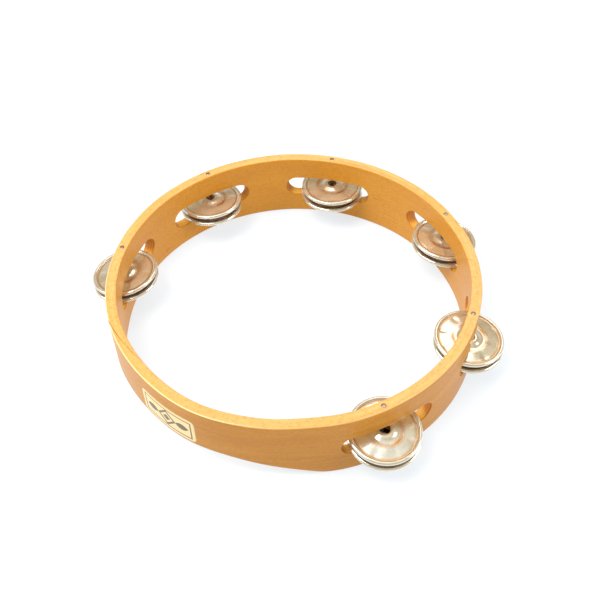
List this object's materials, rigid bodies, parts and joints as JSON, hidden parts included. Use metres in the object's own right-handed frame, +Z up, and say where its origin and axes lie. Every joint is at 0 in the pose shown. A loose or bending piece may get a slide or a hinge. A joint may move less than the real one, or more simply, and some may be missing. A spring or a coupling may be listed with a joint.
{
  "type": "headless tambourine",
  "caption": "Headless tambourine: lacquered wooden hoop with hand grip and slots holding pairs of sliding jingle discs on steel pins.",
  "frame": {"origin": "centre of the hoop on the plane of its lower rim", "axes": "+Z up along the hoop's axis; the hand grip is centred on -Y and the pins are mirrored about the YZ plane"},
  "size_m": [0.278, 0.2632, 0.0515],
  "materials": {
    "lacquered_wood": "glossy clear lacquer over light honey-coloured bent wood",
    "label_paper": null,
    "pin_steel": "plain drawn steel wire",
    "nickel": "polished nickel plate"
  },
  "bodies": {
    "frame": {"hoop": "lacquered_wood", "label": "label_paper", "pin_1": "pin_steel", "pin_2": "pin_steel", "pin_3": "pin_steel", "pin_4": "pin_steel", "pin_5": "pin_steel", "pin_6": "pin_steel"},
    "jingle_1_lower_body": {"jingle_1_lower": "nickel"},
    "jingle_1_upper_body": {"jingle_1_upper": "nickel"},
    "jingle_2_lower_body": {"jingle_2_lower": "nickel"},
    "jingle_2_upper_body": {"jingle_2_upper": "nickel"},
    "jingle_3_lower_body": {"jingle_3_lower": "nickel"},
    "jingle_3_upper_body": {"jingle_3_upper": "nickel"},
    "jingle_4_lower_body": {"jingle_4_lower": "nickel"},
    "jingle_4_upper_body": {"jingle_4_upper": "nickel"},
    "jingle_5_lower_body": {"jingle_5_lower": "nickel"},
    "jingle_5_upper_body": {"jingle_5_upper": "nickel"},
    "jingle_6_lower_body": {"jingle_6_lower": "nickel"},
    "jingle_6_upper_body": {"jingle_6_upper": "nickel"}
  },
  "joints": [
    {"name": "jingle_1_lower_slide", "type": "slide", "parent": "frame", "child": "jingle_1_lower_body", "axis": [0, 0, 1], "range_m": [0, 0.0018]},
    {"name": "jingle_1_upper_slide", "type": "slide", "parent": "jingle_1_lower_body", "child": "jingle_1_upper_body", "axis": [0, 0, 1], "range_m": [-0.0034, 0.0014]},
    {"name": "jingle_2_lower_slide", "type": "slide", "parent": "frame", "child": "jingle_2_lower_body", "axis": [0, 0, 1], "range_m": [0, 0.0018]},
    {"name": "jingle_2_upper_slide", "type": "slide", "parent": "jingle_2_lower_body", "child": "jingle_2_upper_body", "axis": [0, 0, 1], "range_m": [-0.0034, 0.0014]},
    {"name": "jingle_3_lower_slide", "type": "slide", "parent": "frame", "child": "jingle_3_lower_body", "axis": [0, 0, 1], "range_m": [0, 0.0018]},
    {"name": "jingle_3_upper_slide", "type": "slide", "parent": "jingle_3_lower_body", "child": "jingle_3_upper_body", "axis": [0, 0, 1], "range_m": [-0.0034, 0.0014]},
    {"name": "jingle_4_lower_slide", "type": "slide", "parent": "frame", "child": "jingle_4_lower_body", "axis": [0, 0, 1], "range_m": [0, 0.0018]},
    {"name": "jingle_4_upper_slide", "type": "slide", "parent": "jingle_4_lower_body", "child": "jingle_4_upper_body", "axis": [0, 0, 1], "range_m": [-0.0034, 0.0014]},
    {"name": "jingle_5_lower_slide", "type": "slide", "parent": "frame", "child": "jingle_5_lower_body", "axis": [0, 0, 1], "range_m": [0, 0.0018]},
    {"name": "jingle_5_upper_slide", "type": "slide", "parent": "jingle_5_lower_body", "child": "jingle_5_upper_body", "axis": [0, 0, 1], "range_m": [-0.0034, 0.0014]},
    {"name": "jingle_6_lower_slide", "type": "slide", "parent": "frame", "child": "jingle_6_lower_body", "axis": [0, 0, 1], "range_m": [0, 0.0018]},
    {"name": "jingle_6_upper_slide", "type": "slide", "parent": "jingle_6_lower_body", "child": "jingle_6_upper_body", "axis": [0, 0, 1], "range_m": [-0.0034, 0.0014]}
  ]
}
